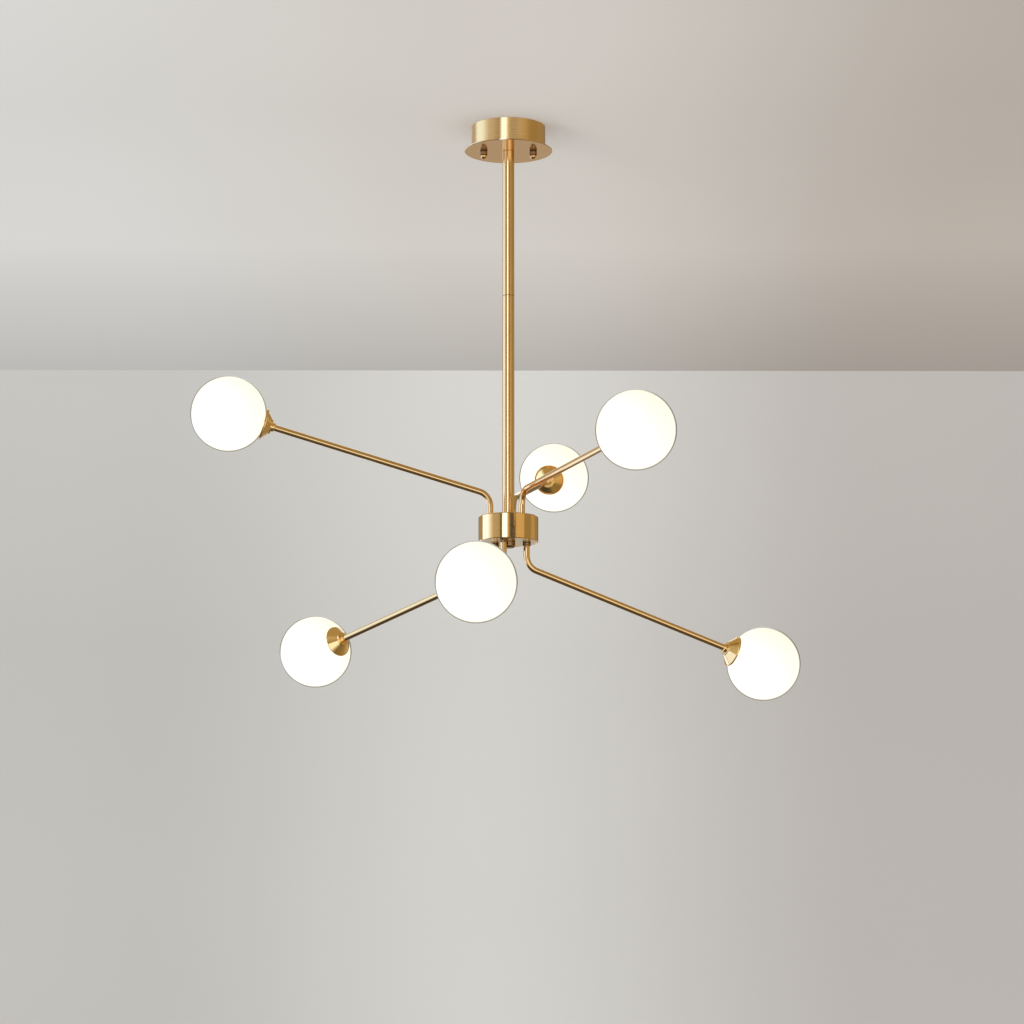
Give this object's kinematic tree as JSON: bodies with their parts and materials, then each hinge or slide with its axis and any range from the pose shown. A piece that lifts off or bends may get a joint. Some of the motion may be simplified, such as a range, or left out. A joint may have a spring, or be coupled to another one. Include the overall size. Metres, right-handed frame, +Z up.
{
  "type": "branch chandelier",
  "caption": "Brass ceiling chandelier: a canopy and drop rod carry a drum hub whose bent arms turn and hold opal glass globes over plug-in bulbs.",
  "frame": {"origin": "centre of the canopy's ceiling face, which is also the middle of the ceiling strap's screw slots", "axes": "+Z up, out of the ceiling face; +X runs along the ceiling strap, to the right in the picture; +Y points away from the picture's camera"},
  "size_m": [0.9745, 1.0152, 0.9162],
  "materials": {
    "brass": "satin brushed",
    "dark_brass": "aged satin",
    "steel": "zinc plated",
    "nylon": "matt",
    "cable": "matt",
    "ceramic": "glazed",
    "bulb_glass": "frosted",
    "opal_glass": "opal, smooth"
  },
  "bodies": {
    "frame": {"ceiling_strap": "steel", "canopy_studs": "steel", "stud_nuts": "steel", "terminal_block": "nylon", "canopy_drum": "brass", "canopy_disc": "brass", "cap_nuts": "dark_brass", "nipple_nuts": "steel", "rod_nipples": "steel", "hub_nipple": "steel", "rod_plugs": "steel", "rod_upper": "brass", "rod_lower": "brass", "hub_drum": "brass", "hub_cover": "brass", "hub_finial": "brass", "feed_cable": "cable", "wire_caps": "nylon"},
    "arm_1": {"arm_tube_1": "brass", "arm_fixings_1": "dark_brass", "arm_lead_1": "cable", "arm_cup_1": "brass", "lamp_holder_1": "ceramic"},
    "bulb_1": {"bulb_1": "bulb_glass"},
    "globe_1": {"globe_1": "opal_glass"},
    "arm_2": {"arm_tube_2": "brass", "arm_fixings_2": "dark_brass", "arm_lead_2": "cable", "arm_cup_2": "brass", "lamp_holder_2": "ceramic"},
    "bulb_2": {"bulb_2": "bulb_glass"},
    "globe_2": {"globe_2": "opal_glass"},
    "arm_3": {"arm_tube_3": "brass", "arm_fixings_3": "dark_brass", "arm_lead_3": "cable", "arm_cup_3": "brass", "lamp_holder_3": "ceramic"},
    "bulb_3": {"bulb_3": "bulb_glass"},
    "globe_3": {"globe_3": "opal_glass"},
    "arm_4": {"arm_tube_4": "brass", "arm_fixings_4": "dark_brass", "arm_lead_4": "cable", "arm_cup_4": "brass", "lamp_holder_4": "ceramic"},
    "bulb_4": {"bulb_4": "bulb_glass"},
    "globe_4": {"globe_4": "opal_glass"},
    "arm_5": {"arm_tube_5": "brass", "arm_fixings_5": "dark_brass", "arm_lead_5": "cable", "arm_cup_5": "brass", "lamp_holder_5": "ceramic"},
    "bulb_5": {"bulb_5": "bulb_glass"},
    "globe_5": {"globe_5": "opal_glass"},
    "arm_6": {"arm_tube_6": "brass", "arm_fixings_6": "dark_brass", "arm_lead_6": "cable", "arm_cup_6": "brass", "lamp_holder_6": "ceramic"},
    "bulb_6": {"bulb_6": "bulb_glass"},
    "globe_6": {"globe_6": "opal_glass"}
  },
  "joints": [
    {"name": "arm_1_swing", "type": "hinge", "parent": "frame", "child": "arm_1", "pos_m": [0.02898, 0.00777, -0.6805], "axis": [0, 0, 1], "range_deg": [-40, 30]},
    {"name": "arm_2_swing", "type": "hinge", "parent": "frame", "child": "arm_2", "pos_m": [0.00777, 0.02898, -0.64], "axis": [0, 0, 1], "range_deg": [-40, 30]},
    {"name": "arm_3_swing", "type": "hinge", "parent": "frame", "child": "arm_3", "pos_m": [-0.02121, 0.02121, -0.6805], "axis": [0, 0, 1], "range_deg": [-35, 35]},
    {"name": "arm_4_swing", "type": "hinge", "parent": "frame", "child": "arm_4", "pos_m": [-0.02898, -0.00777, -0.64], "axis": [0, 0, 1], "range_deg": [-30.5, 39.5]},
    {"name": "arm_5_swing", "type": "hinge", "parent": "frame", "child": "arm_5", "pos_m": [-0.00777, -0.02898, -0.6805], "axis": [0, 0, 1], "range_deg": [-44.5, 25.5]},
    {"name": "arm_6_swing", "type": "hinge", "parent": "frame", "child": "arm_6", "pos_m": [0.02121, -0.02121, -0.64], "axis": [0, 0, 1], "range_deg": [-12, 58]},
    {"name": "globe_1_pull", "type": "slide", "parent": "arm_1", "child": "globe_1", "axis": [0.8911, 0.3243, -0.3173], "range_m": [0, 0.09]},
    {"name": "bulb_1_pull", "type": "slide", "parent": "arm_1", "child": "bulb_1", "axis": [0.8911, 0.3243, -0.3173], "range_m": [0, 0.015]},
    {"name": "globe_2_pull", "type": "slide", "parent": "arm_2", "child": "globe_2", "axis": [0.1681, 0.9534, 0.2504], "range_m": [0, 0.09]},
    {"name": "bulb_2_pull", "type": "slide", "parent": "arm_2", "child": "bulb_2", "axis": [0.1681, 0.9534, 0.2504], "range_m": [0, 0.015]},
    {"name": "globe_3_pull", "type": "slide", "parent": "arm_3", "child": "globe_3", "axis": [-0.6903, 0.6903, -0.2164], "range_m": [0, 0.09]},
    {"name": "bulb_3_pull", "type": "slide", "parent": "arm_3", "child": "bulb_3", "axis": [-0.6903, 0.6903, -0.2164], "range_m": [0, 0.015]},
    {"name": "globe_4_pull", "type": "slide", "parent": "arm_4", "child": "globe_4", "axis": [-0.9475, -0.1756, 0.2672], "range_m": [0, 0.09]},
    {"name": "bulb_4_pull", "type": "slide", "parent": "arm_4", "child": "bulb_4", "axis": [-0.9475, -0.1756, 0.2672], "range_m": [0, 0.015]},
    {"name": "globe_5_pull", "type": "slide", "parent": "arm_5", "child": "globe_5", "axis": [-0.0938, -0.9736, -0.2079], "range_m": [0, 0.09]},
    {"name": "bulb_5_pull", "type": "slide", "parent": "arm_5", "child": "bulb_5", "axis": [-0.0938, -0.9736, -0.2079], "range_m": [0, 0.015]},
    {"name": "globe_6_pull", "type": "slide", "parent": "arm_6", "child": "globe_6", "axis": [0.3743, -0.9263, 0.0436], "range_m": [0, 0.09]},
    {"name": "bulb_6_pull", "type": "slide", "parent": "arm_6", "child": "bulb_6", "axis": [0.3743, -0.9263, 0.0436], "range_m": [0, 0.015]}
  ]
}
